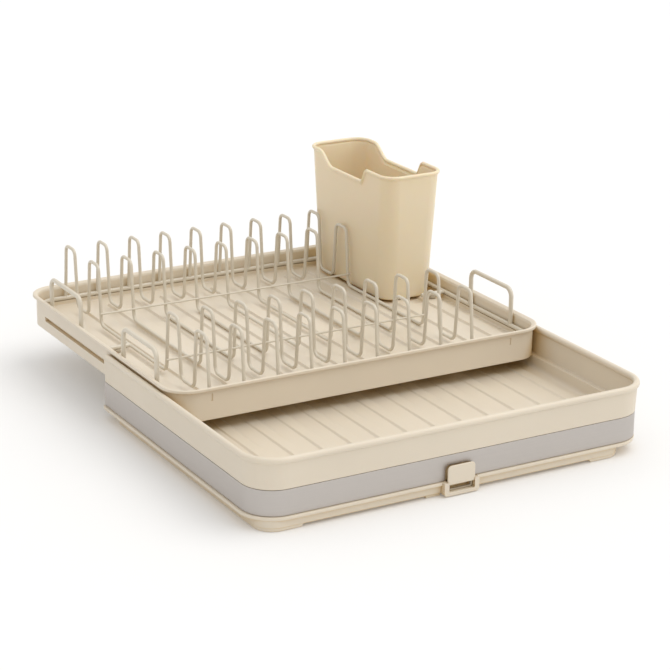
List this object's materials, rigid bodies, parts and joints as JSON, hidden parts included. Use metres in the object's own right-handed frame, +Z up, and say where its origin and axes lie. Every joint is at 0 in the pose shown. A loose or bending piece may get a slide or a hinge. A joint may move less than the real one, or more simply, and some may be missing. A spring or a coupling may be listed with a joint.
{
  "type": "expandable dish drainer",
  "caption": "Dish drainer: a drip tray with a steel band and gated spout, and a tray that slides out over its rear with a wire plate rack and cutlery cup.",
  "frame": {"origin": "middle of the footprint at the height of the surface that the foot pads stand on", "axes": "+Z up, +Y towards the rear, the way the upper tray slides out, +X along the front towards the cutlery cup's side"},
  "size_m": [0.3574, 0.4438, 0.1642],
  "materials": {
    "cream_shell": "smooth satin cream plastic",
    "cream_cup": "smooth satin cream plastic, a shade deeper",
    "coated_wire": "steel wire with a smooth cream coating",
    "steel_band": "brushed stainless steel",
    "rubber": "soft matt rubber"
  },
  "bodies": {
    "lower_tray_body": {"base_pan": "cream_shell", "foot_pad_front_left": "rubber", "foot_pad_rear_left": "rubber", "foot_pad_front_right": "rubber", "foot_pad_rear_right": "rubber", "lower_tray": "cream_shell", "steel_band": "steel_band", "spout_housing": "cream_shell", "spout_seal": "rubber"},
    "gate_body": {"spout_gate": "cream_shell"},
    "upper_tray_body": {"upper_tray": "cream_shell"},
    "rack_body": {"rack_rail": "coated_wire", "wave_wire_1": "coated_wire", "wave_wire_2": "coated_wire", "wave_wire_3": "coated_wire", "wave_wire_4": "coated_wire", "wave_wire_5": "coated_wire", "wave_wire_6": "coated_wire", "wave_wire_7": "coated_wire", "wave_wire_8": "coated_wire", "wave_wire_9": "coated_wire", "cross_wire_rear": "coated_wire", "cross_wire_front": "coated_wire", "handle_front_left": "coated_wire", "handle_rear_left": "coated_wire", "rail_strut_left": "coated_wire", "handle_front_right": "coated_wire", "handle_rear_right": "coated_wire", "rail_strut_right": "coated_wire", "strut_foot_left": "rubber", "strut_foot_right": "rubber"},
    "cup_body": {"cutlery_cup": "cream_cup"}
  },
  "joints": [
    {"name": "upper_tray_slide", "type": "slide", "parent": "lower_tray_body", "child": "upper_tray_body", "axis": [0, 1, 0], "range_m": [-0.139, 0.079]},
    {"name": "gate_slide", "type": "slide", "parent": "lower_tray_body", "child": "gate_body", "axis": [0, 0, 1], "range_m": [-0.0049, 0]},
    {"name": "rack_lift", "type": "slide", "parent": "upper_tray_body", "child": "rack_body", "axis": [0, 0, 1], "range_m": [0, 0.12]},
    {"name": "cup_lift", "type": "slide", "parent": "rack_body", "child": "cup_body", "axis": [0, 0, 1], "range_m": [0, 0.13]}
  ]
}
